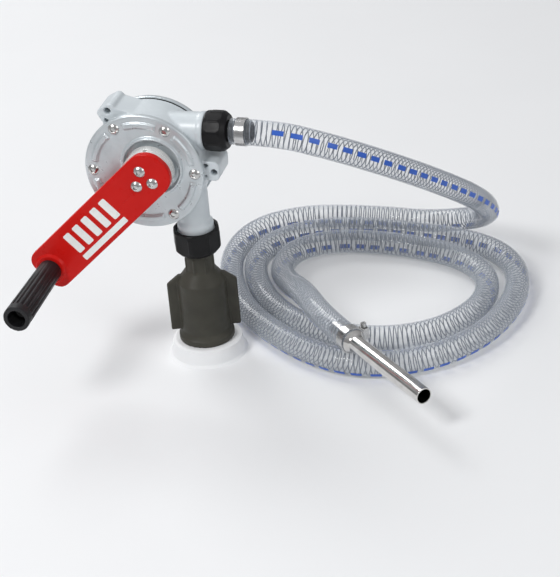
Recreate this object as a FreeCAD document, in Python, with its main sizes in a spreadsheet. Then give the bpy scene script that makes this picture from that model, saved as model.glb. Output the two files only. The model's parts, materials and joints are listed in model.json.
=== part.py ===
"""Hand-cranked rotary vane pump on a drum bung, with its suction tube and discharge hose.

Millimetres, +Z up.  The origin is on the suction tube's axis, inside the bung thread, 10 below the
seat of the adapter's flange.  +X runs along the outlet port and -Y along the crank shaft, to the
front.
"""
import FreeCAD, Part
import math
import os
import Sketcher

V = FreeCAD.Vector
UP = (0, 0, 1)
FRONT, BACK = (0, -1, 0), (0, 1, 0)
RIGHT = (1, 0, 0)

SIZES = {
    # casing and covers
    "casing_x": -48, "casing_z": 252, "casing_dia": 146, "casing_width": 46, "bore_dia": 112,
    "cover_dia": 150, "cover_thick": 6, "gasket_thick": 1, "screw_circle": 128, "screw_dia": 6,
    "port_offset": 45, "outlet_dia": 44, "inlet_dia": 38, "port_bore": 28, "head_dia": 14.4,
    "foot_circle": 170, "foot_hole": 8.5, "foot_width": 40, "foot_angle": 119,
    # rotor, shaft and crank
    "shaft_x": -36, "shaft_z": 261, "shaft_dia": 18, "rotor_dia": 81, "rotor_width": 45.2,
    "vane_thick": 6, "vane_root": 18, "key_width": 6,
    "hub_dia": 60, "hub_back": -37, "hub_front": -62, "arm_thick": 8, "arm_width": 57,
    "arm_reach": 201, "arm_back_reach": 36, "crank_radius": 184.5, "crank_angle": 224,
    "hub_screw_circle": 24, "grip_dia": 30, "grip_length": 118, "grip_cup": 22, "spindle_dia": 12,
    # bung adapter and inlet union
    "thread_dia": 59.6, "thread_length": 22, "seat_height": 10, "flange_dia": 70,
    "adapter_dia": 61, "adapter_shoulder": 91, "adapter_neck": 108, "neck_dia": 36,
    "neck_top": 143, "wing_span": 88, "wing_thick": 7, "wing_angle": 18,
    "inlet_nut_dia": 61, "inlet_nut_low": 132, "inlet_nut_high": 165,
    # telescopic suction tube
    "tube_dia": 42, "tube_wall": 2, "tube_step": 6, "tube_end": -330, "stage_drop": 15,
    "strainer_height": 42, "strainer_dia": 38,
    # outlet union
    "outlet_nut_dia": 52, "outlet_nut_start": 27, "outlet_nut_end": 55,
    # hose and spout
    "hose_dia": 32, "hose_bore": 25, "clamp_width": 12, "clamp_thick": 1.2,
    "spout_dia": 21, "spout_length": 153,
}

# Centre line of the hose: out of the tail, down to the resting plane, round two and a half
# loose turns, and over them to the spout.
HOSE_ROUTE = [
    (57.5, 0, 297), (112, 0, 297), (167, 23, 272), (214, 61, 237), (252, 104, 200), (282, 150, 162),
    (310, 197, 122), (319, 246, 81), (308, 293, 44), (275, 327, 17), (218, 338, 4),
    (157, 342, 4), (98, 341, 4), (38, 331, 4), (-11, 294, 4), (-28, 236, 4), (-19, 172, 4),
    (6, 112, 4), (40, 62, 4), (85, 20, 4), (134, -15, 4), (190, -36, 4), (250, -31, 4),
    (303, 0, 4), (341, 48, 4), (363, 106, 4), (370, 166, 4), (358, 226, 4), (321, 273, 4),
    (264, 294, 4), (203, 303, 4), (142, 308, 4), (81, 301, 4), (27, 269, 4), (7, 212, 4),
    (22, 153, 4), (54, 98, 4), (100, 54, 4), (155, 30, 4), (214, 24, 4), (272, 44, 4),
    (314, 88, 4), (334, 145, 4), (322, 204, 4), (279, 245, 4), (221, 264, 4), (162, 272, 4),
    (101, 270, 4), (54, 238, 4), (48, 180, 6), (74, 129, 16), (110, 72, 38), (153.5, 3.5, 42),
    (202.5, -45.5, 42),
]
HOSE_STRETCHES = {
    "hose_drop": (0, 10),
    "hose_outer_turn": (10, 28),
    "hose_middle_turn": (28, 43),
    "hose_inner_turn": (43, len(HOSE_ROUTE) - 1),
}

doc = FreeCAD.newDocument("DrumPump")
sheet = doc.addObject("Spreadsheet::Sheet", "Sizes")
for row, (alias, value) in enumerate(SIZES.items(), start=1):
    sheet.set(f"A{row}", alias)
    sheet.set(f"B{row}", str(value))
    sheet.setAlias(f"B{row}", alias)
doc.recompute()


def size(alias):
    """A driving dimension, as the sheet holds it."""
    return float(getattr(sheet, alias))


def bind(obj, **expressions):
    """Tie properties to the sheet; a size's name stands for its cell."""
    for name, expression in expressions.items():
        words = expression.replace("(", " ( ").replace(")", " ) ").split()
        linked = " ".join("Sizes." + word if word in SIZES else word for word in words)
        obj.setExpression(name, linked)
    return obj


def place(obj, base, direction=UP):
    obj.Placement = FreeCAD.Placement(V(*base), FreeCAD.Rotation(V(0, 0, 1), V(*direction)))
    return obj


def cylinder(name, radius, height, base, direction=UP):
    obj = bind(doc.addObject("Part::Cylinder", name), Radius=radius, Height=height)
    return place(obj, base, direction)


def cone(name, radius_1, radius_2, height, base, direction=UP):
    obj = bind(doc.addObject("Part::Cone", name), Radius1=radius_1, Radius2=radius_2, Height=height)
    return place(obj, base, direction)


def box(name, length, width, height, corner):
    obj = bind(doc.addObject("Part::Box", name), Length=length, Width=width, Height=height)
    return place(obj, corner)


def prism(name, sides, radius, height, base, direction=UP):
    obj = bind(doc.addObject("Part::Prism", name), Circumradius=radius, Height=height)
    obj.Polygon = sides
    return place(obj, base, direction)


def fuse(name, *pieces):
    obj = doc.addObject("Part::MultiFuse", name)
    obj.Shapes = list(pieces)
    obj.Refine = True
    return obj


def cut(name, base, *tools):
    obj = doc.addObject("Part::Cut", name)
    obj.Base = base
    obj.Tool = tools[0] if len(tools) == 1 else fuse(name + "_tools", *tools)
    obj.Refine = True
    return obj


def solid(name, shape):
    """A shape made with Part's own functions, for forms that no primitive gives."""
    obj = doc.addObject("Part::Feature", name)
    obj.Shape = shape
    return obj


def tube(name, outer, inner, height, base, direction=UP):
    """A plain ring or tube: outer and inner radius as expressions."""
    wall = cylinder(name + "_outside", outer, height, base, direction)
    return cut(name, wall, cylinder(name + "_inside", inner, height, base, direction))


def around(count, radius, centre_x, centre_z, first=0.0):
    """Evenly spaced points of a circle in the XZ plane, as (x, z, angle in degrees)."""
    for step in range(count):
        angle = first + 360.0 * step / count
        turn = math.radians(angle)
        yield centre_x + radius * math.cos(turn), centre_z + radius * math.sin(turn), angle


def flat_body(label, y_low, thickness, draw, angle=0.0, origin=(0, 0)):
    """A PartDesign body padded along +Y from y_low; draw fills its sketch in the XZ plane."""
    body = doc.addObject("PartDesign::Body", label + "_body")
    plane = next(f for f in body.Origin.OriginFeatures if f.Role == "XZ_Plane")
    sketch = body.newObject("Sketcher::SketchObject", label + "_outline")
    sketch.AttachmentSupport = [(plane, "")]
    sketch.MapMode = "FlatFace"
    draw(sketch)
    pad = body.newObject("PartDesign::Pad", label + "_pad")
    pad.Profile = sketch
    bind(pad, Length=thickness)
    pad.Reversed = True
    body.Placement = FreeCAD.Placement(V(origin[0], y_low, origin[1]),
                                       FreeCAD.Rotation(V(0, -1, 0), angle))
    doc.recompute()
    return body


casing_x, casing_z = size("casing_x"), size("casing_z")
shaft_x, shaft_z = size("shaft_x"), size("shaft_z")
half_width = size("casing_width") / 2
cover_seat = half_width + size("gasket_thick")
cover_face = cover_seat + size("cover_thick")
outlet_z = casing_z + size("port_offset")
nodes = []


def node(obj, label):
    """Name a finished sub-part."""
    obj.Label = label
    nodes.append(obj)
    return obj


# ---- casing, covers and gaskets ---------------------------------------------------------------

def screw_holes(name, y_low, depth):
    """Six clearance holes on the cover's screw circle."""
    spots = around(6, size("screw_circle") / 2, casing_x, casing_z)
    return [cylinder(f"{name}_{i}", "screw_dia / 2 + 0.3", depth, (x, y_low, z), BACK)
            for i, (x, z, _) in enumerate(spots)]


# outlines of a foot's two webs, from the casing's centre: outwards, and along the casing's turn
WEB_OUTLINES = [[(50, 12), (77, 12), (50, 34)], [(50, -8), (87, -8), (66, -29), (50, -42)]]


def foot_lug(index, angle, both_sides):
    """One cored mounting foot: a rounded tab on webs, with a drilled boss and two pockets."""
    reach = size("foot_circle") / 2
    half = size("foot_width") / 2
    name = f"foot_{index}"
    block = Part.makeBox(42, 2 * half, 25, V(50, -half, -11))
    edges = [e for e in block.Edges
             if abs(e.Vertexes[0].Y - e.Vertexes[1].Y) > 1 and e.Vertexes[0].X > 60]
    block = block.makeFillet(6.5, edges)
    body = block
    for outline in WEB_OUTLINES[:1 + both_sides]:
        corners = [V(x, -half, z) for x, z in outline + outline[:1]]
        body = body.fuse(Part.Face(Part.makePolygon(corners)).extrude(V(0, 2 * half, 0)))
    body = body.removeSplitter()
    hole = Part.makeCylinder(size("foot_hole") / 2, 2 * half, V(reach, -half, 0), V(0, 1, 0))
    pockets = [[(61, -7), (75, -7.5), (76, -4.5), (61, 0)], [(72, 4), (80, 9), (75, 11), (66, 11)]]
    body = body.cut(hole)
    for corners in pockets:
        points = [V(x, -half, z) for x, z in corners + corners[:1]]
        body = body.cut(Part.Face(Part.makePolygon(points)).extrude(V(0, 12, 0)))
    lug = solid(name, body)
    lug.Placement = FreeCAD.Placement(V(casing_x, 0, casing_z), FreeCAD.Rotation(V(0, -1, 0), angle))
    return lug


def make_casing():
    width = "casing_width"
    drum = cylinder("casing_drum", "casing_dia / 2", width, (casing_x, -half_width, casing_z), BACK)
    feet = [foot_lug(i, size("foot_angle") + 120 * i, i != 2) for i in range(3)]
    inlet = [
        cylinder("inlet_pipe", "inlet_dia / 2", "80", (0, 0, 170)),
        cylinder("inlet_collar", "22.5", "12", (0, 0, 160)),
        cone("inlet_flare", "22.5", "inlet_dia / 2", "4", (0, 0, 172)),
        cylinder("inlet_spigot", "24", "15", (0, 0, 146)),
    ]
    outlet = [
        cylinder("outlet_pipe", "outlet_dia / 2", "74", (-52, 0, outlet_z), RIGHT),
        cone("outlet_flare", "outlet_dia / 2", "23", "2", (19, 0, outlet_z), RIGHT),
        cylinder("outlet_collar", "23", "5.5", (21, 0, outlet_z), RIGHT),
        cylinder("outlet_spigot", "21", "15", (26, 0, outlet_z), RIGHT),
    ]
    web = box("port_web", "38", "38", "60", (-26, -19, 226))
    rough = fuse("casing_rough", drum, web, *feet, *inlet, *outlet)
    bore = cylinder("casing_bore", "bore_dia / 2", width, (casing_x, -half_width, casing_z), BACK)
    inlet_way = cylinder("inlet_way", "port_bore / 2", "100", (0, 0, 145))
    outlet_way = cylinder("outlet_way", "port_bore / 2", "90", (-40, 0, outlet_z), RIGHT)
    screws = []
    for side, y_low in (("front", -half_width), ("rear", half_width - 16)):
        spots = around(6, size("screw_circle") / 2, casing_x, casing_z)
        screws += [cylinder(f"casing_{side}_tapping_{i}", "screw_dia / 2", "16", (x, y_low, z), BACK)
                   for i, (x, z, _) in enumerate(spots)]
    node(cut("casing_cut", rough, bore, inlet_way, outlet_way, *screws), "pump_casing")


def cover_rib(name, y_low, angle):
    """A raised arc between two cover screws."""
    radius, half_span, width, height = 62.5, 18.5, 7, 2.6
    ring = Part.makeCylinder(radius + width / 2, height, V(0, 0, 0), V(0, 0, 1), 2 * half_span)
    ring = ring.cut(Part.makeCylinder(radius - width / 2, height))
    edges = [e for e in ring.Edges if abs(e.BoundBox.ZMin - height) < 0.01]
    rib = solid(name, ring.makeFillet(1.6, edges))
    turn = FreeCAD.Rotation(V(0, -1, 0), angle - half_span)
    rib.Placement = FreeCAD.Placement(V(casing_x, y_low, casing_z),
                                      turn.multiply(FreeCAD.Rotation(V(1, 0, 0), 90)))
    return rib


def rounded_disc(name, radius, thickness, centre, direction, edge):
    """A disc whose outer rim is rounded on its far face."""
    disc = Part.makeCylinder(radius, thickness)
    rim = [e for e in disc.Edges if abs(e.BoundBox.ZMin - thickness) < 0.01 and len(e.Vertexes) == 1]
    piece = solid(name, disc.makeFillet(edge, rim))
    return place(piece, centre, direction)


def make_front_cover():
    seat = (casing_x, -cover_seat, casing_z)
    disc = rounded_disc("front_disc", size("cover_dia") / 2, size("cover_thick"), seat, FRONT, 2.5)
    ribs = [cover_rib(f"front_rib_{i}", -cover_face, 30 + 60 * i) for i in range(6)]
    boss = cone("front_boss", "39", "37.5", "4", (shaft_x, -cover_face, shaft_z), FRONT)
    plate = fuse("front_plate", disc, boss, *ribs)
    recess = cylinder("front_recess", "35", "6", (shaft_x, -cover_face + 1, shaft_z), FRONT)
    collar = cylinder("front_collar", "19", "7.5", (shaft_x, -cover_face + 2, shaft_z), FRONT)
    dished = cut("front_dished", plate, recess)
    whole = fuse("front_whole", dished, collar)
    bush_way = cylinder("front_bush_way", "13", "30", (shaft_x, -20, shaft_z), FRONT)
    seal_way = cylinder("front_seal_way", "15", "20", (shaft_x, -cover_face + 0.5, shaft_z), FRONT)
    holes = screw_holes("front_hole", -cover_face - 1, "cover_thick + 2")
    node(cut("front_cover_cut", whole, bush_way, seal_way, *holes), "front_cover")


def make_rear_cover():
    seat = (casing_x, cover_seat, casing_z)
    disc = rounded_disc("rear_disc", size("cover_dia") / 2, size("cover_thick"), seat, BACK, 1.5)
    boss = cone("rear_boss", "25", "22", "16", (shaft_x, cover_face, shaft_z), BACK)
    ribs = []
    for i in range(6):
        rib = solid(f"rear_rib_{i}", Part.makeBox(36, 6, 5, V(20, 0, -2.5)))
        rib.Placement = FreeCAD.Placement(V(casing_x, cover_face, casing_z),
                                          FreeCAD.Rotation(V(0, -1, 0), 30 + 60 * i))
        ribs.append(rib)
    whole = fuse("rear_whole", disc, boss, *ribs)
    bush_way = cylinder("rear_bush_way", "13", "20", (shaft_x, 22, shaft_z), BACK)
    holes = screw_holes("rear_hole", cover_seat - 1, "cover_thick + 2")
    node(cut("rear_cover_cut", whole, bush_way, *holes), "rear_cover")


def make_gaskets():
    for side, y_low in (("front", -cover_seat), ("rear", half_width)):
        ring = tube(f"{side}_gasket_ring", "casing_dia / 2", "bore_dia / 2 + 0.5", "gasket_thick",
                    (casing_x, y_low, casing_z), BACK)
        holes = screw_holes(f"{side}_gasket_hole", y_low - 1, "gasket_thick + 2")
        node(cut(f"{side}_gasket_cut", ring, *holes), f"{side}_gasket")


def button_screw(head_radius, shank, length, base, direction):
    """A domed cap screw with a hexagon socket; base is under the head, direction out of it."""
    axis = V(*direction)
    dome = Part.makeSphere(head_radius * 1.25, V(0, 0, -head_radius * 0.75))
    head = dome.common(Part.makeCylinder(head_radius, head_radius))
    stem = Part.makeCylinder(shank, length, V(0, 0, -length))
    hexagon = [V(head_radius * 0.45 * math.cos(a), head_radius * 0.45 * math.sin(a), 1.6)
               for a in [math.radians(60 * k) for k in range(7)]]
    socket = Part.Face(Part.makePolygon(hexagon)).extrude(V(0, 0, head_radius))
    screw = head.fuse(stem).cut(socket)
    placed = FreeCAD.Placement(V(*base), FreeCAD.Rotation(V(0, 0, 1), axis))
    return screw.transformed(placed.toMatrix())


def make_cover_screws():
    for side, face, direction in (("front", -cover_face, FRONT), ("rear", cover_face, BACK)):
        spots = around(6, size("screw_circle") / 2, casing_x, casing_z)
        shapes = [button_screw(size("head_dia") / 2, size("screw_dia") / 2, 20, (x, face, z), direction)
                  for x, z, _ in spots]
        node(solid(f"{side}_screw_set", Part.makeCompound(shapes)), f"{side}_cover_screws")


# ---- rotor, shaft, bushes and seal ------------------------------------------------------------

def make_rotor():
    half = size("rotor_width") / 2
    centre = (shaft_x, -half, shaft_z)
    block = cylinder("rotor_block", "rotor_dia / 2", "rotor_width", centre, BACK)
    shaft_way = cylinder("rotor_bore", "shaft_dia / 2", "rotor_width", centre, BACK)
    slots = []
    for i in range(5):
        slot = solid(f"rotor_slot_{i}", Part.makeBox(
            40, 2 * half, size("vane_thick"), V(size("vane_root"), -half, -size("vane_thick") / 2)))
        slot.Placement = FreeCAD.Placement(V(shaft_x, 0, shaft_z),
                                           FreeCAD.Rotation(V(0, -1, 0), 36 + 72 * i))
        slots.append(slot)
    keyway = box("rotor_keyway", "key_width", "rotor_width", "5",
                 (shaft_x - size("key_width") / 2, -half, shaft_z + 7.5))
    node(cut("rotor_cut", block, shaft_way, keyway, *slots), "rotor")


def make_vanes():
    """Five sliding vanes, pushed in flush with the rotor."""
    tip = size("rotor_dia") / 2 - 0.2
    for i in range(5):
        height = size("vane_thick") - 0.2
        vane = Part.makeBox(tip - size("vane_root") - 0.5, size("rotor_width") - 0.4, height,
                            V(size("vane_root") + 0.5, -size("rotor_width") / 2 + 0.2, -height / 2))
        piece = solid(f"vane_block_{i + 1}", vane)
        piece.Placement = FreeCAD.Placement(V(shaft_x, 0, shaft_z),
                                            FreeCAD.Rotation(V(0, -1, 0), 36 + 72 * i))
        node(piece, f"vane_{i + 1}")


def make_shaft():
    rod = cylinder("shaft_rod", "shaft_dia / 2", "98", (shaft_x, 40, shaft_z), FRONT)
    seat = box("shaft_keyseat", "key_width", "30", "5",
               (shaft_x - size("key_width") / 2, -15, shaft_z + 5.5))
    node(cut("shaft_cut", rod, seat), "drive_shaft")
    node(box("key_block", "key_width - 0.1", "30", "6.8",
             (shaft_x - size("key_width") / 2 + 0.05, -15, shaft_z + 5.6)), "shaft_key")


def make_bushes():
    radius = "shaft_dia / 2 + 0.05"
    node(tube("front_bush_ring", "13", radius, "5.3", (shaft_x, -29.4, shaft_z), BACK), "front_bush")
    node(tube("rear_bush_ring", "13", radius, "17.8", (shaft_x, 24.1, shaft_z), BACK), "rear_bush")
    node(tube("seal_ring", "15", radius, "5.6", (shaft_x, -35.2, shaft_z), BACK), "shaft_seal")


# ---- crank ------------------------------------------------------------------------------------

def crank_point(along, across=0.0):
    """A point of the crank arm's plane, measured along the arm from the shaft."""
    turn = math.radians(size("crank_angle"))
    return (shaft_x + along * math.cos(turn) - across * math.sin(turn),
            shaft_z + along * math.sin(turn) + across * math.cos(turn))


def make_crank_hub():
    length = size("hub_back") - size("hub_front")
    hub = cylinder("hub_block", "hub_dia / 2", "hub_back - hub_front",
                   (shaft_x, size("hub_back"), shaft_z), FRONT)
    way = cylinder("hub_bore", "shaft_dia / 2", "hub_back - hub_front - 4",
                   (shaft_x, size("hub_back"), shaft_z), FRONT)
    spots = around(3, size("hub_screw_circle") / 2, shaft_x, shaft_z, size("crank_angle"))
    taps = [cylinder(f"hub_tapping_{i}", "2.45", "3.5", (x, size("hub_front"), z), BACK)
            for i, (x, z, _) in enumerate(spots)]
    grub_y = size("hub_back") - length / 2
    grub_way = cylinder("hub_grub_way", "3", "24", (shaft_x, grub_y, shaft_z + 8.5))
    node(cut("hub_cut", hub, way, grub_way, *taps), "crank_hub")
    screw = cylinder("grub_rod", "3", "18", (shaft_x, grub_y, shaft_z + 9))
    socket = prism("grub_socket", 6, "1.7", "4", (shaft_x, grub_y, shaft_z + 24))
    node(cut("grub_cut", screw, socket), "hub_set_screw")


def draw_arm(sketch):
    """A long plate with round corners: tight ones at the grip, a near half round at the hub."""
    half, reach, back = size("arm_width") / 2, size("arm_reach"), -size("arm_back_reach")
    grip_corner, hub_corner = 15.0, half - 2.0
    corners = [(reach, half, grip_corner), (back, half, hub_corner),
               (back, -half, hub_corner), (reach, -half, grip_corner)]
    arcs = []
    for quarter, (x, z, radius) in enumerate(corners):
        centre = V(x - math.copysign(radius, x), z - math.copysign(radius, z), 0)
        start = quarter * math.pi / 2
        arcs.append(Part.ArcOfCircle(Part.Circle(centre, V(0, 0, 1), radius), start,
                                     start + math.pi / 2))
    pieces = []
    for arc, following in zip(arcs, arcs[1:] + arcs[:1]):
        pieces += [arc, Part.LineSegment(arc.EndPoint, following.StartPoint)]
    ids = sketch.addGeometry(pieces, False)
    for this, following in zip(ids, ids[1:] + ids[:1]):
        sketch.addConstraint(Sketcher.Constraint("Coincident", this, 2, following, 1))


def make_crank_arm():
    thick = size("arm_thick")
    back_face = size("hub_front")
    arm = flat_body("arm", back_face - thick, "arm_thick", draw_arm, size("crank_angle"),
                    (shaft_x, shaft_z))
    rim = [f"Edge{i + 1}" for i, e in enumerate(arm.Shape.Edges)
           if abs(e.BoundBox.YMax - (back_face - thick)) < 0.01]
    plate = arm.Tip
    fillet = arm.newObject("PartDesign::Fillet", "arm_rounding")
    fillet.Base = (plate, rim)
    fillet.Radius = 1.8
    arm.Tip = fillet
    grip_x, grip_z = crank_point(size("crank_radius"))
    collar = cone("grip_collar", "20.5", "18", "3.5", (grip_x, back_face - thick, grip_z), FRONT)
    whole = fuse("arm_whole", arm, collar)
    holes = [cylinder(f"arm_hole_{i}", "2.8", "arm_thick + 2", (x, back_face + 1, z), FRONT)
             for i, (x, z, _) in enumerate(around(3, size("hub_screw_circle") / 2, shaft_x, shaft_z,
                                                  size("crank_angle")))]
    spindle_way = cylinder("arm_spindle_way", "spindle_dia / 2", "20", (grip_x, back_face + 1, grip_z),
                           FRONT)
    node(cut("arm_cut", whole, spindle_way, *holes), "crank_arm")
    spots = around(3, size("hub_screw_circle") / 2, shaft_x, shaft_z, size("crank_angle"))
    shapes = [button_screw(size("head_dia") / 2, 2.4, 11, (x, back_face - thick, z), FRONT)
              for x, z, _ in spots]
    node(solid("arm_screw_set", Part.makeCompound(shapes)), "crank_arm_screws")


def make_grip():
    grip_x, grip_z = crank_point(size("crank_radius"))
    root = size("hub_front") - size("arm_thick") - 4
    end = root - size("grip_length")
    cup_floor = end + size("grip_cup")
    barrel = cone("grip_barrel", "grip_dia / 2 - 0.5", "grip_dia / 2 + 1.5", "grip_length",
                  (grip_x, root, grip_z), FRONT)
    spindle_way = cylinder("grip_bore", "spindle_dia / 2 + 0.05", "grip_length",
                           (grip_x, root, grip_z), FRONT)
    cup = cylinder("grip_cup_way", "11", "grip_cup", (grip_x, cup_floor, grip_z), FRONT)
    flutes = []
    for i, (x, z, _) in enumerate(around(16, size("grip_dia") / 2 + 0.9, grip_x, grip_z)):
        flutes.append(cylinder(f"grip_flute_{i}", "1.6", "grip_length - 14", (x, root - 3, z), FRONT))
    node(cut("grip_cut", barrel, spindle_way, cup, *flutes), "hand_grip")
    rod = cylinder("spindle_rod", "spindle_dia / 2", "arm_thick + 4 + grip_length - grip_cup + 0.5",
                   (grip_x, size("hub_front"), grip_z), FRONT)
    tap = cylinder("spindle_tapping", "2.5", "14", (grip_x, cup_floor - 0.5, grip_z), BACK)
    node(cut("spindle_cut", rod, tap), "grip_spindle")
    washer_y = cup_floor - 0.5
    node(tube("grip_washer_ring", "8.5", "2.6", "1.5", (grip_x, washer_y, grip_z), FRONT),
         "grip_washer")
    screw = button_screw(4.6, 2.5, 14, (grip_x, washer_y - 1.5, grip_z), FRONT)
    node(solid("grip_screw_body", screw), "grip_screw")


# ---- bung adapter and inlet union --------------------------------------------------------------

def make_adapter():
    seat, shoulder = size("seat_height"), size("adapter_shoulder")
    neck, neck_low = size("neck_dia") / 2, size("adapter_neck")
    pieces = [
        cylinder("adapter_thread", "thread_dia / 2", "thread_length",
                 (0, 0, seat - size("thread_length"))),
        cylinder("adapter_flange", "flange_dia / 2", "7", (0, 0, seat)),
        cone("adapter_foot", "flange_dia / 2 - 1", "adapter_dia / 2", "6", (0, 0, seat + 7)),
        cylinder("adapter_barrel", "adapter_dia / 2", "adapter_shoulder - seat_height - 13",
                 (0, 0, seat + 13)),
        cone("adapter_shoulder_cone", "adapter_dia / 2", "neck_dia / 2",
             "adapter_neck - adapter_shoulder", (0, 0, shoulder)),
        cylinder("adapter_neck_pipe", "neck_dia / 2", "neck_top - adapter_neck", (0, 0, neck_low)),
        cylinder("adapter_lip", "23.5", "7", (0, 0, size("neck_top") - 7)),
    ]
    half, thick, turned = size("wing_span") / 2, size("wing_thick"), size("wing_angle")
    low, slope, high = seat + 13, shoulder - 4, shoulder + 8
    outline = [V(20, 0, low), V(half, 0, low), V(half, 0, slope), V(29, 0, high), V(20, 0, high),
               V(20, 0, low)]
    for index in range(2):
        wing = Part.Face(Part.makePolygon(outline)).extrude(V(0, thick, 0))
        wing.translate(V(0, -thick / 2, 0))
        outer = [e for e in wing.Edges if e.BoundBox.XMin > half - 0.1 and e.BoundBox.ZLength > 10]
        piece = solid(f"adapter_wing_{index}", wing.makeFillet(2.0, outer))
        piece.Placement = FreeCAD.Placement(V(0, 0, 0),
                                            FreeCAD.Rotation(V(0, 0, 1), turned + 180 * index))
        pieces.append(piece)
    for index in range(8):
        rib = solid(f"neck_rib_{index}", Part.makeBox(3, 2, 24, V(neck - 1.5, -1, neck_low - 6)))
        rib.Placement = FreeCAD.Placement(V(0, 0, 0),
                                          FreeCAD.Rotation(V(0, 0, 1), turned + 45 * index + 22.5))
        pieces.append(rib)
    whole = fuse("adapter_whole", *pieces)
    tube_way = cylinder("adapter_tube_way", "tube_dia / 2", "80", (0, 0, -20))
    way = cylinder("adapter_way", "port_bore / 2", "90", (0, 0, 55))
    wide, narrow = "thread_dia / 2 + 4", "thread_dia / 2 + 0.5"
    gasket_way = tube("adapter_groove", wide, narrow, "2.4", (0, 0, seat))
    node(cut("adapter_cut", whole, tube_way, way, gasket_way), "bung_adapter")
    node(tube("bung_gasket_ring", wide, narrow, "2.4", (0, 0, seat)), "bung_gasket")


def union_nut(name, sides, outer, length, thread_radius, lip_radius, lip):
    """A faceted union nut, lip down: chamfered ends, an open thread side and an inward lip."""
    corner, chamfer = outer * 1.035, 3
    facets = [V(corner * math.cos(a), corner * math.sin(a), 0)
              for a in [2 * math.pi * k / sides for k in range(sides + 1)]]
    turned = Part.makeCone(outer * 0.83, corner, 7)
    turned = turned.fuse(Part.makeCylinder(corner, length - 7 - chamfer, V(0, 0, 7)))
    turned = turned.fuse(Part.makeCone(corner, outer * 0.94, chamfer, V(0, 0, length - chamfer)))
    body = Part.Face(Part.makePolygon(facets)).extrude(V(0, 0, length))
    body = body.common(turned).common(Part.makeCylinder(outer, length))
    body = body.cut(Part.makeCylinder(lip_radius, lip))
    body = body.cut(Part.makeCylinder(thread_radius, length - lip, V(0, 0, lip)))
    for k in range(sides):
        bar = Part.makeBox(3.2, 4.0, length - 14, V(outer - 2.6, -2.0, 8))
        bar.rotate(V(0, 0, 0), V(0, 0, 1), 360.0 * k / sides)
        body = body.fuse(bar)
    return solid(name, body.removeSplitter())


def make_inlet_union():
    """The nut hangs on a slip ring under the adapter's lip and clears the ribs of its neck."""
    low, lip, lip_radius = size("inlet_nut_low"), 3.0, size("neck_dia") / 2 + 2.2
    nut = union_nut("inlet_nut_body", 8, size("inlet_nut_dia") / 2 - 1.5,
                    size("inlet_nut_high") - low, 24.3, lip_radius, lip)
    node(place(nut, (0, 0, low)), "inlet_union_nut")
    node(tube("inlet_slip_body", "23.5", f"{lip_radius}", "1", (0, 0, low + lip)),
         "inlet_slip_ring")
    node(tube("inlet_seal_ring", "23", "port_bore / 2 + 1", "3", (0, 0, size("neck_top"))),
         "inlet_seal")


# ---- telescopic suction tube -------------------------------------------------------------------

def make_suction_tube():
    outer, wall, step = size("tube_dia") / 2, size("tube_wall"), size("tube_step") / 2
    end, drop = size("tube_end"), size("stage_drop")
    tops = (60, 50, 40)
    names = ("upper", "middle", "lower")
    for index, name in enumerate(names):
        radius = outer - index * step
        bottom = end - index * drop
        node(tube(f"{name}_tube_wall", f"tube_dia / 2 - {index * step}",
                  f"tube_dia / 2 - {index * step} - tube_wall", str(tops[index] - bottom),
                  (0, 0, bottom)), f"suction_tube_{name}")
        if index:
            node(tube(f"{name}_ring_body", f"{radius + step - wall - 0.05}", f"{radius}", "10",
                      (0, 0, tops[index] - 10)), f"{name}_tube_ring")
        if index < 2:
            inner = radius - step + 0.05
            sleeve = cylinder(f"{name}_bush_sleeve", f"{radius - wall}", "12", (0, 0, bottom))
            cap = cylinder(f"{name}_bush_cap", f"{radius + 1.2}", "5", (0, 0, bottom - 5))
            hole = cylinder(f"{name}_bush_hole", f"{inner}", "30", (0, 0, bottom - 10))
            node(cut(f"{name}_bush_cut", fuse(f"{name}_bush_whole", sleeve, cap), hole),
                 f"{name}_tube_bush")


def make_strainer():
    """A slotted foot cup on the lowest tube."""
    bottom = size("tube_end") - 2 * size("stage_drop")
    radius, height = size("strainer_dia") / 2, size("strainer_height")
    tube_radius = size("tube_dia") / 2 - size("tube_step")
    body = Part.makeCylinder(radius, height)
    body = body.fuse(Part.makeCone(radius, tube_radius + 2.5, 6, V(0, 0, height)))
    body = body.cut(Part.makeCylinder(radius - 2.5, height - 4, V(0, 0, 2.5)))
    body = body.cut(Part.makeCylinder(tube_radius, 10, V(0, 0, height - 2)))
    for k in range(12):
        slot = Part.makeBox(8, 3.2, 26, V(radius - 5, -1.6, 7))
        slot.rotate(V(0, 0, 0), V(0, 0, 1), 30.0 * k)
        body = body.cut(slot)
    piece = solid("strainer_body", body.removeSplitter())
    place(piece, (0, 0, bottom - height))
    node(piece, "suction_strainer")


# ---- outlet union, hose and spout --------------------------------------------------------------

def make_outlet_union():
    start, stop = size("outlet_nut_start"), size("outlet_nut_end")
    lip, lip_radius = 6.5, size("hose_bore") / 2 + 0.9
    nut = union_nut("outlet_nut_body", 10, size("outlet_nut_dia") / 2 - 1.5, stop - start, 21.4,
                    lip_radius, lip)
    node(place(nut, (stop, 0, outlet_z), (-1, 0, 0)), "outlet_union_nut")
    node(tube("outlet_slip_body", "20.5", f"{lip_radius}", "1", (stop - lip - 1, 0, outlet_z), RIGHT),
         "outlet_slip_ring")
    node(tube("outlet_seal_ring", "20.5", "port_bore / 2 + 1", "2", (41, 0, outlet_z), RIGHT),
         "outlet_seal")
    flange = cylinder("tail_flange", "20.5", "4.5", (43, 0, outlet_z), RIGHT)
    barrel = cylinder("tail_barrel", "hose_bore / 2", "36", (47.5, 0, outlet_z), RIGHT)
    way = cylinder("tail_way", "hose_bore / 2 - 2.5", "60", (42, 0, outlet_z), RIGHT)
    node(cut("tail_cut", fuse("tail_whole", flange, barrel), way), "outlet_hose_tail")


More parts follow.
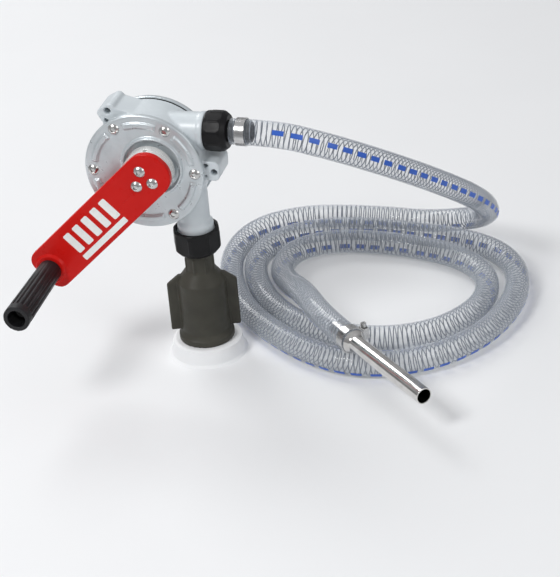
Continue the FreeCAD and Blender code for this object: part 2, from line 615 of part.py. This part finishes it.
def corner_arcs(points):
    """Tangent arcs of a route: for each inner point, its two tangent points and its radius."""
    arcs = []
    for before, corner, after in zip(points, points[1:], points[2:]):
        back, ahead = before - corner, after - corner
        reach = 0.45 * min(back.Length, ahead.Length)
        turn = math.pi - back.getAngle(ahead)
        radius = reach / math.tan(turn / 2)
        entry = corner + V(back).normalize() * reach
        leave = corner + V(ahead).normalize() * reach
        middle = (V(back).normalize() + V(ahead).normalize()).normalize()
        height = radius / math.cos(turn / 2) - radius
        arcs.append((entry, corner + middle * height, leave, radius))
    return arcs


def hose_path(points, arcs, first, last):
    """Straight runs and arcs of one stretch, from mid-run to mid-run inside the route."""
    final = len(points) - 1
    start = points[0] if first == 0 else (points[first - 1] + points[first]) * 0.5
    stop = points[final] if last == final else (points[last - 1] + points[last]) * 0.5
    edges = []
    for index in range(max(first, 1), last):
        entry, middle, leave, _ = arcs[index - 1]
        edges.append(Part.LineSegment(start, entry).toShape())
        edges.append(Part.Arc(entry, middle, leave).toShape())
        start = leave
    edges.append(Part.LineSegment(start, stop).toShape())
    return Part.Wire(edges)


def swept(path, radius):
    origin = path.Edges[0].Vertexes[0].Point
    direction = path.Edges[0].tangentAt(path.Edges[0].FirstParameter)
    ring = Part.Wire(Part.makeCircle(radius, origin, direction))
    return path.makePipeShell([ring], True, False)


def make_hose():
    points = [V(*p) for p in HOSE_ROUTE]
    arcs = corner_arcs(points)
    total = 0.0
    for name, (first, last) in HOSE_STRETCHES.items():
        path = hose_path(points, arcs, first, last)
        wall = swept(path, size("hose_dia") / 2).cut(swept(path, size("hose_bore") / 2))
        section = math.pi * (size("hose_dia") ** 2 - size("hose_bore") ** 2) / 4
        print(name, "length", round(path.Length, 1), "volume ratio",
              round(wall.Volume / (section * path.Length), 4))
        total += path.Length
        node(solid(name + "_wall", wall), name)
    print("hose length", round(total, 1), "radii", [round(arc[3]) for arc in arcs])


def hose_clamp(name, centre, direction, screw_side):
    """A worm clamp: band, screw housing and the screw, as two nodes."""
    width, inner = size("clamp_width"), size("hose_dia") / 2
    outer = inner + size("clamp_thick")
    band = Part.makeCylinder(outer, width).cut(Part.makeCylinder(inner, width))
    housing = Part.makeBox(8, 15, width - 1, V(outer - 0.6, -7.5, 0.5))
    housing = housing.cut(Part.makeCylinder(2.8, 20, V(outer + 3.9, -10, width / 2), V(0, 1, 0)))
    screw = Part.makeCylinder(2.6, 17, V(outer + 3.9, -8.5, width / 2), V(0, 1, 0))
    head = Part.makeCylinder(3.6, 4.5, V(outer + 3.9, 8.5, width / 2), V(0, 1, 0))
    slot = Part.makeBox(9, 2, 1.2, V(outer - 0.6, 11.5, width / 2 - 0.6))
    pieces = {"band": band.fuse(housing), "screw": screw.fuse(head).cut(slot)}
    rotation = FreeCAD.Rotation(V(0, 0, 1), V(*direction))
    across = rotation.multVec(V(1, 0, 0))
    side = V(*screw_side) - V(*direction) * V(*screw_side).dot(V(*direction))
    roll = FreeCAD.Rotation(across, side)
    for part_name, shape in pieces.items():
        piece = solid(f"{name}_{part_name}_body", shape)
        piece.Placement = FreeCAD.Placement(V(*centre), roll.multiply(rotation))
        node(piece, f"{name}_{part_name}")


def make_spout():
    end, before = V(*HOSE_ROUTE[-1]), V(*HOSE_ROUTE[-2])
    along = (end - before).normalize()
    insert, wall = 38, 1.5
    root = end - along * insert
    direction = tuple(along)
    barrel = Part.makeCylinder(size("hose_bore") / 2, insert)
    step = Part.makeCone(size("hose_bore") / 2 + 3, size("spout_dia") / 2, 7, V(0, 0, insert))
    pipe = Part.makeCylinder(size("spout_dia") / 2, size("spout_length"), V(0, 0, insert))
    bore = Part.makeCylinder(size("spout_dia") / 2 - wall, insert + size("spout_length"))
    spout = solid("spout_body", barrel.fuse(step).fuse(pipe).cut(bore).removeSplitter())
    place(spout, tuple(root), direction)
    node(spout, "spout")
    return end, along


make_casing()
make_front_cover()
make_rear_cover()
make_gaskets()
make_cover_screws()
make_rotor()
make_vanes()
make_shaft()
make_bushes()
make_crank_hub()
make_crank_arm()
make_grip()
make_adapter()
make_inlet_union()
make_suction_tube()
make_strainer()
make_outlet_union()
make_hose()
hose_clamp("pump_clamp", (65, 0, outlet_z), RIGHT, (0, 0.9, -0.45))
hose_end, hose_heading = make_spout()
clamp_start = hose_end - hose_heading * (size("clamp_width") + 2)
hose_clamp("spout_clamp", tuple(clamp_start), tuple(hose_heading), (0.6, 0.7, 0.1))

doc.recompute()
for obj in doc.Objects:
    if {"Invalid", "Error"} & set(obj.State):
        raise RuntimeError(f"{obj.Name} failed: {obj.State}")
for obj in nodes:
    if obj.Shape.isNull() or not obj.Shape.isValid() or obj.Shape.Volume <= 0:
        raise RuntimeError(f"{obj.Label} has a bad shape")

os.makedirs("parts", exist_ok=True)
for obj in nodes:
    obj.Shape.exportStep(f"parts/{obj.Label}.step")
print(len(nodes), "nodes written")
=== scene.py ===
"""Looks of a hand-cranked drum pump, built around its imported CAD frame.  Metres, +Z up."""
import json
import math
import bpy
from mathutils import Matrix, Vector


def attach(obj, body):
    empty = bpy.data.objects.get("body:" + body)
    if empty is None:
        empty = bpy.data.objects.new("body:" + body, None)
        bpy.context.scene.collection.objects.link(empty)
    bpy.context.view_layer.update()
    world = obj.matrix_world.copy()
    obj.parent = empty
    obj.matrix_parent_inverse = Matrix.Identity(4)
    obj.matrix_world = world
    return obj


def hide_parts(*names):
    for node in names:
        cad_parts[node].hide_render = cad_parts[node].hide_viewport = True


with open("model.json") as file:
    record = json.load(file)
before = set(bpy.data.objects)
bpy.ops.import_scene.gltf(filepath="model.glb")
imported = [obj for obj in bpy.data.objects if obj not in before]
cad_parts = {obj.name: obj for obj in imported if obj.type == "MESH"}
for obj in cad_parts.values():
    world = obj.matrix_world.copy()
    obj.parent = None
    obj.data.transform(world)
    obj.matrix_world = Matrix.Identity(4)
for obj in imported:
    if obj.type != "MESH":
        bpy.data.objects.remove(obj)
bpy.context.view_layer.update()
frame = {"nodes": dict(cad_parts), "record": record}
scene = bpy.context.scene

HOSE_ROUTE = [
    (57.5, 0, 297), (112, 0, 297), (167, 23, 272), (214, 61, 237), (252, 104, 200), (282, 150, 162),
    (310, 197, 122), (319, 246, 81), (308, 293, 44), (275, 327, 17), (218, 338, 4),
    (157, 342, 4), (98, 341, 4), (38, 331, 4), (-11, 294, 4), (-28, 236, 4), (-19, 172, 4),
    (6, 112, 4), (40, 62, 4), (85, 20, 4), (134, -15, 4), (190, -36, 4), (250, -31, 4),
    (303, 0, 4), (341, 48, 4), (363, 106, 4), (370, 166, 4), (358, 226, 4), (321, 273, 4),
    (264, 294, 4), (203, 303, 4), (142, 308, 4), (81, 301, 4), (27, 269, 4), (7, 212, 4),
    (22, 153, 4), (54, 98, 4), (100, 54, 4), (155, 30, 4), (214, 24, 4), (272, 44, 4),
    (314, 88, 4), (334, 145, 4), (322, 204, 4), (279, 245, 4), (221, 264, 4), (162, 272, 4),
    (101, 270, 4), (54, 238, 4), (48, 180, 6), (74, 129, 16), (110, 72, 38), (153.5, 3.5, 42),
    (202.5, -45.5, 42),
]
HOSE_RADIUS = 0.016
HOSE_SPACING = 0.0025
WIRE_RADIUS = 0.0146
WIRE_PITCH = 0.0064
PRINT_LIFT = 0.00012
REST_PLANE = -0.012
BOARD_UNDERSIDE = -0.020
GROUND = -0.92

CRANK_AXIS = (-0.036, 0.261)
CRANK_ANGLE = math.radians(224)
ARM_FRONT = -0.070


def link(obj):
    scene.collection.objects.link(obj)
    return obj


def mesh_object(name, verts, faces, material=None, smooth=True):
    mesh = bpy.data.meshes.new(name)
    mesh.from_pydata([tuple(v) for v in verts], [], faces)
    mesh.validate()
    for polygon in mesh.polygons:
        polygon.use_smooth = smooth
    if material:
        mesh.materials.append(material)
    return link(bpy.data.objects.new(name, mesh))


# ---- camera ---------------------------------------------------------------------------------------

def make_camera():
    azimuth, elevation, roll = (math.radians(x) for x in (17.0, 29.735, -5.0))
    target, distance = Vector((0.070, 0.101, 0.023)), 2.72
    back = Vector((math.sin(azimuth) * math.cos(elevation),
                   -math.cos(azimuth) * math.cos(elevation), math.sin(elevation)))
    right = Vector((math.cos(azimuth), math.sin(azimuth), 0))
    up = back.cross(right)
    tilted_right = right * math.cos(roll) + up * math.sin(roll)
    tilted_up = up * math.cos(roll) - right * math.sin(roll)
    data = bpy.data.cameras.new("camera")
    data.lens, data.sensor_width = 131.0, 36.0
    data.clip_start, data.clip_end = 0.1, 30.0
    camera = link(bpy.data.objects.new("camera", data))
    turn = Matrix((tilted_right, tilted_up, back)).transposed().to_4x4()
    camera.matrix_world = Matrix.Translation(target + back * distance) @ turn
    scene.camera = camera


make_camera()


# ---- materials ------------------------------------------------------------------------------------

class Finish:
    """A Principled material with procedural colour, roughness and relief."""

    def __init__(self, name, colour, metallic=0.0, roughness=0.4, **sockets):
        self.material = bpy.data.materials.new(name)
        self.material.use_nodes = True
        self.tree = self.material.node_tree
        self.shader = self.tree.nodes["Principled BSDF"]
        self.set("Base Color", (*colour, 1.0))
        self.set("Metallic", metallic)
        self.set("Roughness", roughness)
        for socket, value in sockets.items():
            self.set(socket.replace("_", " "), value)
        self.colour = colour
        self.place = self.add("ShaderNodeTexCoord").outputs["Object"]
        self.height = None

    def set(self, socket, value):
        self.shader.inputs[socket].default_value = value

    def add(self, kind, **values):
        node = self.tree.nodes.new(kind)
        for name, value in values.items():
            setattr(node, name, value)
        return node

    def join(self, output, socket):
        self.tree.links.new(output, socket)

    def noise(self, scale, detail=3.0, stretch=None, rough=0.55):
        node = self.add("ShaderNodeTexNoise")
        node.inputs["Scale"].default_value = scale
        node.inputs["Detail"].default_value = detail
        node.inputs["Roughness"].default_value = rough
        source = self.place
        if stretch:
            mapping = self.add("ShaderNodeMapping")
            mapping.inputs["Scale"].default_value = stretch
            self.join(source, mapping.inputs["Vector"])
            source = mapping.outputs["Vector"]
        self.join(source, node.inputs["Vector"])
        return node.outputs["Fac"]

    def ramp(self, source, stops):
        node = self.add("ShaderNodeValToRGB")
        ramp = node.color_ramp
        while len(ramp.elements) < len(stops):
            ramp.elements.new(0.5)
        for element, (where, colour) in zip(ramp.elements, stops):
            element.position = where
            element.color = (*colour, 1.0)
        self.join(source, node.inputs["Fac"])
        return node.outputs["Color"]

    def tint(self, source, dark, light=None, low=0.35, high=0.65):
        """The base colour wanders between two shades."""
        stops = [(low, dark), (high, light or self.colour)]
        self.join(self.ramp(source, stops), self.shader.inputs["Base Color"])
        return self

    def gloss(self, source, low, high):
        node = self.add("ShaderNodeMapRange")
        node.inputs["From Min"].default_value = 0.3
        node.inputs["From Max"].default_value = 0.7
        node.inputs["To Min"].default_value = low
        node.inputs["To Max"].default_value = high
        self.join(source, node.inputs["Value"])
        self.join(node.outputs["Result"], self.shader.inputs["Roughness"])
        return self

    def relief(self, source, depth, strength=0.5):
        node = self.add("ShaderNodeBump")
        node.inputs["Strength"].default_value = strength
        node.inputs["Distance"].default_value = depth
        self.join(source, node.inputs["Height"])
        if self.height:
            self.join(self.height, node.inputs["Normal"])
        self.height = node.outputs["Normal"]
        self.join(self.height, self.shader.inputs["Normal"])
        return self


def painted_casting():
    m = Finish("casing_paint", (0.62, 0.68, 0.71), 0.0, 0.36, Coat_Weight=0.35, Coat_Roughness=0.2)
    m.tint(m.noise(14, 4), (0.55, 0.60, 0.63), (0.65, 0.705, 0.735), 0.25, 0.7)
    m.gloss(m.noise(60, 3), 0.28, 0.46)
    m.relief(m.noise(240, 2), 0.0006, 0.28)
    m.relief(m.noise(900, 2), 0.0002, 0.25)
    return m.material


def cast_cover():
    m = Finish("cover_metal", (0.62, 0.67, 0.69), 0.5, 0.35)
    m.tint(m.noise(26, 5), (0.53, 0.575, 0.60), (0.67, 0.72, 0.745), 0.25, 0.75)
    m.gloss(m.noise(120, 3), 0.26, 0.42)
    m.relief(m.noise(420, 2), 0.0003, 0.18)
    return m.material


def gloss_red():
    m = Finish("arm_red", (0.56, 0.010, 0.008), 0.0, 0.30, Coat_Weight=0.08, Coat_Roughness=0.08,
               Specular_IOR_Level=0.1)
    m.tint(m.noise(12, 2), (0.54, 0.009, 0.007), (0.60, 0.011, 0.008), 0.3, 0.7)
    m.gloss(m.noise(90, 2), 0.26, 0.34)
    m.relief(m.noise(320, 2), 0.0002, 0.1)
    return m.material


def bright_steel(name, colour, low, high, stretch):
    m = Finish(name, colour, 1.0, low)
    m.tint(m.noise(60, 4, stretch), tuple(c * 0.8 for c in colour), colour, 0.3, 0.6)
    m.gloss(m.noise(140, 4, stretch), low, high)
    m.relief(m.noise(260, 4, stretch), 0.00008, 0.35)
    return m.material


def dull_plastic(name, colour, low, high, grain=700.0):
    m = Finish(name, colour, 0.0, low, Specular_IOR_Level=0.2)
    m.tint(m.noise(22, 4), tuple(c * 0.72 for c in colour), colour, 0.3, 0.65)
    m.gloss(m.noise(70, 3), low, high)
    m.relief(m.noise(grain, 2), 0.00022, 0.3)
    return m.material


def black_rubber(name):
    m = Finish(name, (0.010, 0.010, 0.012), 0.0, 0.5, Specular_IOR_Level=0.35)
    m.tint(m.noise(30, 4), (0.006, 0.006, 0.007), (0.014, 0.014, 0.016))
    m.gloss(m.noise(50, 3), 0.34, 0.52)
    m.relief(m.noise(520, 3), 0.0003, 0.35)
    return m.material


def turned_metal(name, colour, metallic, low, high):
    m = Finish(name, colour, metallic, low)
    m.tint(m.noise(40, 3), tuple(c * 0.9 for c in colour), colour)
    m.gloss(m.noise(90, 3, (1, 30, 1)), low, high)
    m.relief(m.noise(220, 2, (1, 20, 1)), 0.00005, 0.12)
    return m.material


def zinc_tube():
    m = Finish("tube_steel", (0.56, 0.57, 0.58), 0.85, 0.3)
    m.tint(m.noise(55, 5, (1, 1, 0.25)), (0.44, 0.45, 0.46), (0.62, 0.63, 0.64), 0.3, 0.7)
    m.gloss(m.noise(80, 4, (1, 1, 0.1)), 0.2, 0.42)
    m.relief(m.noise(300, 3, (1, 1, 0.08)), 0.0001, 0.3)
    return m.material


def clear_hose():
    """Soft clear plastic: faint in the middle of the tube, milky where it is seen edge-on."""
    m = Finish("hose_clear", (0.66, 0.72, 0.79), 0.0, 0.13, IOR=1.5, Coat_Weight=0.8, Coat_Roughness=0.05)
    edge = m.add("ShaderNodeLayerWeight")
    edge.inputs["Blend"].default_value = 0.42
    node = m.add("ShaderNodeMapRange")
    node.inputs["From Min"].default_value = 0.12
    node.inputs["From Max"].default_value = 0.95
    node.inputs["To Min"].default_value = 0.12
    node.inputs["To Max"].default_value = 0.6
    m.join(edge.outputs["Facing"], node.inputs["Value"])
    m.join(node.outputs["Result"], m.shader.inputs["Alpha"])
    m.gloss(m.noise(40, 3), 0.06, 0.16)
    m.relief(m.noise(120, 2), 0.0006, 0.2)
    return m.material


def printed(name, colour):
    m = Finish(name, colour, 0.0, 0.35)
    m.tint(m.noise(260, 4), tuple(c * 0.95 for c in colour), colour, 0.35, 0.55)
    m.gloss(m.noise(120, 2), 0.3, 0.45)
    return m.material


MATERIALS = {
    "casing_paint": painted_casting(),
    "cover_metal": cast_cover(),
    "screw_steel": bright_steel("screw_steel", (0.66, 0.66, 0.65), 0.16, 0.30, (1, 1, 1)),
    "gasket_rubber": black_rubber("gasket_rubber"),
    "bronze": turned_metal("bronze", (0.52, 0.36, 0.16), 0.9, 0.25, 0.4),
    "shaft_steel": turned_metal("shaft_steel", (0.92, 0.92, 0.90), 0.35, 0.2, 0.3),
    "rotor_iron": turned_metal("rotor_iron", (0.24, 0.24, 0.25), 0.9, 0.35, 0.5),
    "vane_plastic": dull_plastic("vane_plastic", (0.07, 0.07, 0.07), 0.35, 0.5),
    "arm_red": gloss_red(),
    "grip_rubber": black_rubber("grip_rubber"),
    "nut_black": dull_plastic("nut_black", (0.009, 0.009, 0.010), 0.32, 0.5),
    "adapter_black": dull_plastic("adapter_black", (0.058, 0.056, 0.045), 0.38, 0.55),
    "tube_steel": zinc_tube(),
    "strainer_plastic": dull_plastic("strainer_plastic", (0.022, 0.022, 0.024), 0.4, 0.55),
    "tail_plastic": dull_plastic("tail_plastic", (0.022, 0.022, 0.024), 0.35, 0.5),
    "clamp_steel": bright_steel("clamp_steel", (0.62, 0.62, 0.62), 0.18, 0.34, (1, 1, 1)),
    "hose_clear": clear_hose(),
    "spout_steel": bright_steel("spout_steel", (0.74, 0.73, 0.71), 0.07, 0.15, (1, 1, 1)),
}


# ---- hose -----------------------------------------------------------------------------------------

def hose_curve(name, radius):
    data = bpy.data.curves.new(name, "CURVE")
    data.dimensions = "3D"
    spline = data.splines.new("NURBS")
    spline.points.add(len(HOSE_ROUTE) - 1)
    for point, place in zip(spline.points, HOSE_ROUTE):
        point.co = (*(c / 1000 for c in place), 1.0)
        point.radius = radius
    spline.order_u = 3
    spline.use_endpoint_u = True
    spline.resolution_u = 14
    data.bevel_depth = 1.0
    data.bevel_resolution = 8
    return link(bpy.data.objects.new(name, data))


def centre_line(curve, spacing):
    """Even steps along a curve: points with a direction and the distance from its start."""
    depth, curve.data.bevel_depth = curve.data.bevel_depth, 0.0
    bpy.context.view_layer.update()
    mesh = bpy.data.meshes.new_from_object(curve)
    raw = [v.co.copy() for v in mesh.vertices]
    bpy.data.meshes.remove(mesh)
    curve.data.bevel_depth = depth
    total = sum((b - a).length for a, b in zip(raw, raw[1:]))
    steps = round(total / spacing)
    places, index, passed = [], 0, 0.0
    for step in range(steps + 1):
        wanted = total * step / steps
        while index < len(raw) - 2 and passed + (raw[index + 1] - raw[index]).length < wanted:
            passed += (raw[index + 1] - raw[index]).length
            index += 1
        run = raw[index + 1] - raw[index]
        places.append(raw[index] + run * min(1.0, (wanted - passed) / run.length))
    return places, total


def carried_frames(places):
    """A side vector for each place, carried along the line without twist."""
    frames = []
    side = Vector((0, -1, 0))
    for i, place in enumerate(places):
        ahead = (places[min(i + 1, len(places) - 1)] - places[max(i - 1, 0)]).normalized()
        side = (side - ahead * side.dot(ahead)).normalized()
        frames.append((place, ahead, side, ahead.cross(side)))
    return frames


def wire_mesh(name, path, outward, half_width, half_height, material):
    """An oval wire along a path, five-sided, wide along its neighbours and thin outward."""
    verts, faces, sides = [], [], 5
    for i, place in enumerate(path):
        ahead = (path[min(i + 1, len(path) - 1)] - path[max(i - 1, 0)]).normalized()
        across = ahead.cross(outward[i]).normalized()
        for k in range(sides):
            a = 2 * math.pi * k / sides
            verts.append(place + across * (half_width * math.cos(a))
                         + outward[i] * (half_height * math.sin(a)))
    for i in range(len(path) - 1):
        for k in range(sides):
            nxt = (k + 1) % sides
            faces.append((i * sides + k, i * sides + nxt, (i + 1) * sides + nxt, (i + 1) * sides + k))
    return mesh_object(name, verts, faces, material)


def spiral_wire(frames, spacing, radius, pitch, material, turn_steps=14):
    """The steel wire in the hose's wall."""
    path, outward = [], []
    total = spacing * (len(frames) - 1)
    half_width, half_height = 0.0007, 0.0006
    count = int(total / pitch * turn_steps)
    for i in range(count):
        distance = total * i / count
        where = distance / spacing
        low = int(where)
        share = where - low
        first, second = frames[low], frames[min(low + 1, len(frames) - 1)]
        place = first[0].lerp(second[0], share)
        side = first[2].lerp(second[2], share).normalized()
        other = first[3].lerp(second[3], share).normalized()
        angle = 2 * math.pi * i / turn_steps
        out = side * math.cos(angle) + other * math.sin(angle)
        path.append(place + out * radius)
        outward.append(out)
    return wire_mesh("hose_wire", path, outward, half_width, half_height, material)


def stripe_marks(frames, spacing, material):
    """A broken line printed along the hose, wandering a little round it."""
    verts, faces = [], []
    dash, gap, half_angle = 0.0125, 0.008, math.radians(11.0)
    radius = HOSE_RADIUS + PRINT_LIFT
    bare_start, bare_end = 0.05, 0.06
    mean_lean, wander, wander_rate = -38, 16, 3.1
    start = bare_start
    last = spacing * (len(frames) - 1) - bare_end
    while start < last:
        lean = math.radians(mean_lean + wander * math.sin(start * wander_rate))
        base = len(verts)
        for i in range(6):
            place, _, side, other = frames[int(round((start + dash * i / 5) / spacing))]
            for k in range(4):
                a = lean + half_angle * (2 * k / 3 - 1)
                verts.append(place + (side * math.cos(a) + other * math.sin(a)) * radius)
        for i in range(5):
            for k in range(3):
                a = base + i * 4 + k
                faces.append((a, a + 1, a + 5, a + 4))
        start += dash + gap
    return mesh_object("hose_marks", verts, faces, material)


def make_hose():
    hose = hose_curve("hose_skin", HOSE_RADIUS)
    hose.data.materials.append(MATERIALS["hose_clear"])
    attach(hose, "pump")
    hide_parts("hose_drop", "hose_outer_turn", "hose_middle_turn", "hose_inner_turn")
    places, total = centre_line(hose, HOSE_SPACING)
    spacing = total / (len(places) - 1)
    frames = carried_frames(places)
    wire_steel = turned_metal("wire_steel", (0.24, 0.26, 0.30), 0.5, 0.35, 0.45)
    wire = spiral_wire(frames, spacing, WIRE_RADIUS, WIRE_PITCH, wire_steel)
    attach(wire, "pump")
    marks = stripe_marks(frames, spacing, printed("mark_blue", (0.03, 0.12, 0.55)))
    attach(marks, "pump")


make_hose()


# ---- CAD nodes: finishes and softened edges ---------------------------------------------------------

def soften(node, width, segments=2):
    """Small radii on a machined or pressed piece's edges."""
    obj = frame["nodes"][node]
    obj.modifiers.new("weld", "WELD").merge_threshold = 0.00001
    bevel = obj.modifiers.new("bevel", "BEVEL")
    bevel.width, bevel.segments = width, segments
    bevel.limit_method, bevel.angle_limit = "ANGLE", math.radians(38)
    bevel.use_clamp_overlap = True
    normals = obj.modifiers.new("normals", "WEIGHTED_NORMAL")
    normals.keep_sharp = False


def skin(node, name, body, voxel, rounds):
    """A cast or moulded piece: the CAD solid's skin with every edge and inner corner rounded."""
    source = frame["nodes"][node]
    piece = link(bpy.data.objects.new(name, source.data.copy()))
    piece.modifiers.new("weld", "WELD").merge_threshold = 0.00001
    remesh = piece.modifiers.new("remesh", "REMESH")
    remesh.mode, remesh.voxel_size = "VOXEL", voxel
    smooth = piece.modifiers.new("smooth", "SMOOTH")
    smooth.factor, smooth.iterations = 0.5, rounds
    bpy.context.view_layer.update()
    rounded = bpy.data.meshes.new_from_object(
        piece.evaluated_get(bpy.context.evaluated_depsgraph_get()))
    piece.modifiers.clear()
    piece.data = rounded
    for polygon in rounded.polygons:
        polygon.use_smooth = True
    slot = SLOTS[node]
    rounded.materials.clear()
    rounded.materials.append(MATERIALS[slot])
    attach(piece, body)
    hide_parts(node)
    return piece


SLOTS = {row["node"]: row["material_slot"] for row in frame["record"]["subparts"]}
for node_name, node_object in frame["nodes"].items():
    node_object.data.materials.clear()
    node_object.data.materials.append(MATERIALS[SLOTS[node_name]])

skin("pump_casing", "casing_casting", "pump", 0.0011, 5)
skin("front_cover", "front_cover_casting", "pump", 0.0009, 3)
skin("rear_cover", "rear_cover_casting", "pump", 0.0011, 3)
skin("bung_adapter", "adapter_moulding", "pump", 0.0010, 4)
skin("inlet_union_nut", "inlet_nut_moulding", "inlet_nut", 0.0007, 3)
skin("outlet_union_nut", "outlet_nut_moulding", "outlet_nut", 0.0007, 3)
skin("hand_grip", "grip_moulding", "grip", 0.0006, 3)


for node_name, width in (("crank_arm", 0.0012), ("crank_hub", 0.0008), ("spout", 0.0003),
                         ("outlet_hose_tail", 0.0004), ("pump_clamp_band", 0.0002),
                         ("spout_clamp_band", 0.0002), ("front_cover_screws", 0.0003)):
    soften(node_name, width)


# ---- arm decoration and bung thread -----------------------------------------------------------------

def plain_bar(name, start, end, across, width, material):
    """A flat painted bar on the crank arm's front, with rounded corners; lengths from the shaft."""
    along = Vector((math.cos(CRANK_ANGLE), 0, math.sin(CRANK_ANGLE)))
    beside = Vector((-math.sin(CRANK_ANGLE), 0, math.cos(CRANK_ANGLE)))
    centre = Vector((CRANK_AXIS[0], ARM_FRONT - PRINT_LIFT, CRANK_AXIS[1]))
    verts = []
    corner_share = 0.18
    corner = min(width, end - start) * corner_share
    for x, y, first in ((end, width / 2, 0), (start, width / 2, 90), (start, -width / 2, 180),
                        (end, -width / 2, 270)):
        for k in range(5):
            a = math.radians(first + 22.5 * k)
            cx = x - math.copysign(corner, x - (start + end) / 2)
            cy = y - math.copysign(corner, y)
            verts.append(centre + along * (cx + corner * math.cos(a))
                         + beside * (across + cy + corner * math.sin(a)))
    piece = mesh_object(name, verts, [tuple(range(len(verts)))], material, smooth=False)
    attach(piece, "crank")
    return piece


def arm_decoration():
    """Five plain bars side by side along the arm, with a long line beside them."""
    paint = printed("arm_white", (0.86, 0.86, 0.85))
    first, step, thick, height, across = 0.056, 0.0178, 0.0108, 0.029, -0.0035
    for bar in range(5):
        start = first + step * bar
        plain_bar(f"arm_bar_{bar + 1}", start, start + thick, across, height, paint)
    plain_bar("arm_line", start=0.055, end=0.139, across=0.019, width=0.0075, material=paint)


arm_decoration()


def bung_thread():
    """The adapter's thread: one ridge winding down below the seat."""
    pitch, radius, steps, low, high = 0.00231, 0.0291, 48, -0.0105, 0.0070
    half_width, half_height = 0.00085, 0.0009
    path, outward = [], []
    for i in range(int((high - low) / pitch * steps)):
        a = 2 * math.pi * i / steps
        out = Vector((math.cos(a), math.sin(a), 0))
        path.append(out * radius + Vector((0, 0, low + pitch * i / steps)))
        outward.append(out)
    ridge = wire_mesh("bung_thread_ridge", path, outward, half_width, half_height,
                      MATERIALS["adapter_black"])
    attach(ridge, "pump")


bung_thread()


# ---- stage and light --------------------------------------------------------------------------------

def stage_material(name, colour, roughness):
    m = Finish(name, colour, 0.0, roughness)
    m.tint(m.noise(3, 3), tuple(c * 0.985 for c in colour), colour)
    return m.material


def make_stage():
    """A pale board that the hose lies on, with a raised seat for the adapter, above a pale ground."""
    count = 128
    board = stage_material("board_pale", (0.84, 0.85, 0.86), 0.7)
    rings = [[Vector((r * math.cos(2 * math.pi * k / count), r * math.sin(2 * math.pi * k / count), z))
              for k in range(count)]
             for r, z in ((0.0304, BOARD_UNDERSIDE), (0.0304, 0.0094), (0.0400, 0.0094), (0.0436, 0.0076),
                          (0.0470, -0.0090), (0.0500, REST_PLANE), (0.0560, REST_PLANE))]
    low, high = Vector((-0.75, -0.62, 0)), Vector((0.95, 1.35, 0))
    for z in (REST_PLANE, BOARD_UNDERSIDE):
        rim = []
        for k in range(count):
            a = 2 * math.pi * k / count
            reach = min(abs((high.x if math.cos(a) > 0 else low.x) / (math.cos(a) or 1e-9)),
                        abs((high.y if math.sin(a) > 0 else low.y) / (math.sin(a) or 1e-9)))
            rim.append(Vector((reach * math.cos(a), reach * math.sin(a), z)))
        for x, y in ((low.x, low.y), (low.x, high.y), (high.x, low.y), (high.x, high.y)):
            rim[round(math.atan2(y, x) / (2 * math.pi) * count) % count] = Vector((x, y, z))
        rings.append(rim)
    verts = [v for ring in rings for v in ring]
    faces = []
    for i in range(len(rings)):
        nxt = (i + 1) % len(rings)
        for k in range(count):
            m = (k + 1) % count
            faces.append((i * count + k, i * count + m, nxt * count + m, nxt * count + k))
    plate = mesh_object("stage_board", verts, faces, board, smooth=False)
    far = 30
    corners = [(-far, -far, GROUND), (far, -far, GROUND), (far, far, GROUND), (-far, far, GROUND)]
    ground = mesh_object("stage_ground", corners, [(0, 1, 2, 3)],
                         stage_material("ground_pale", (0.84, 0.85, 0.86), 0.8), smooth=False)


def area_light(name, place, aim, size, power, colour=(1, 1, 1)):
    data = bpy.data.lights.new(name, "AREA")
    data.shape, data.size, data.energy, data.color = "DISK", size, power, colour
    lamp = link(bpy.data.objects.new(name, data))
    lamp.location = place
    direction = Vector(aim) - Vector(place)
    lamp.rotation_mode = "QUATERNION"
    lamp.rotation_quaternion = direction.to_track_quat("-Z", "Y")


def make_light():
    world = bpy.data.worlds.new("studio")
    scene.world = world
    world.use_nodes = True
    tree = world.node_tree
    shade = tree.nodes["Background"]
    place = tree.nodes.new("ShaderNodeTexCoord")
    split = tree.nodes.new("ShaderNodeSeparateXYZ")
    ramp = tree.nodes.new("ShaderNodeValToRGB")
    steps = ((0.0, 0.62), (0.25, 0.50), (0.52, 0.62), (1.0, 0.92))
    elements = ramp.color_ramp.elements
    while len(elements) < len(steps):
        elements.new(0.5)
    for element, (where, grey) in zip(elements, steps):
        element.position = where
        element.color = (grey, grey, grey * 1.02, 1)
    tree.links.new(place.outputs["Generated"], split.inputs["Vector"])
    tree.links.new(split.outputs["Z"], ramp.inputs["Fac"])
    tree.links.new(ramp.outputs["Color"], shade.inputs["Color"])
    shade.inputs["Strength"].default_value = 0.62
    area_light("key", (-1.3, -1.9, 2.6), (0.05, 0.05, 0.1), 1.1, 54)
    area_light("fill", (2.4, -1.2, 1.5), (0.1, 0.05, 0.1), 1.6, 15)
    area_light("back", (-1.75, 1.6, 2.2), (0.2, 0.0, 0.05), 1.5, 32)


make_stage()
make_light()
scene.view_settings.view_transform = "Standard"
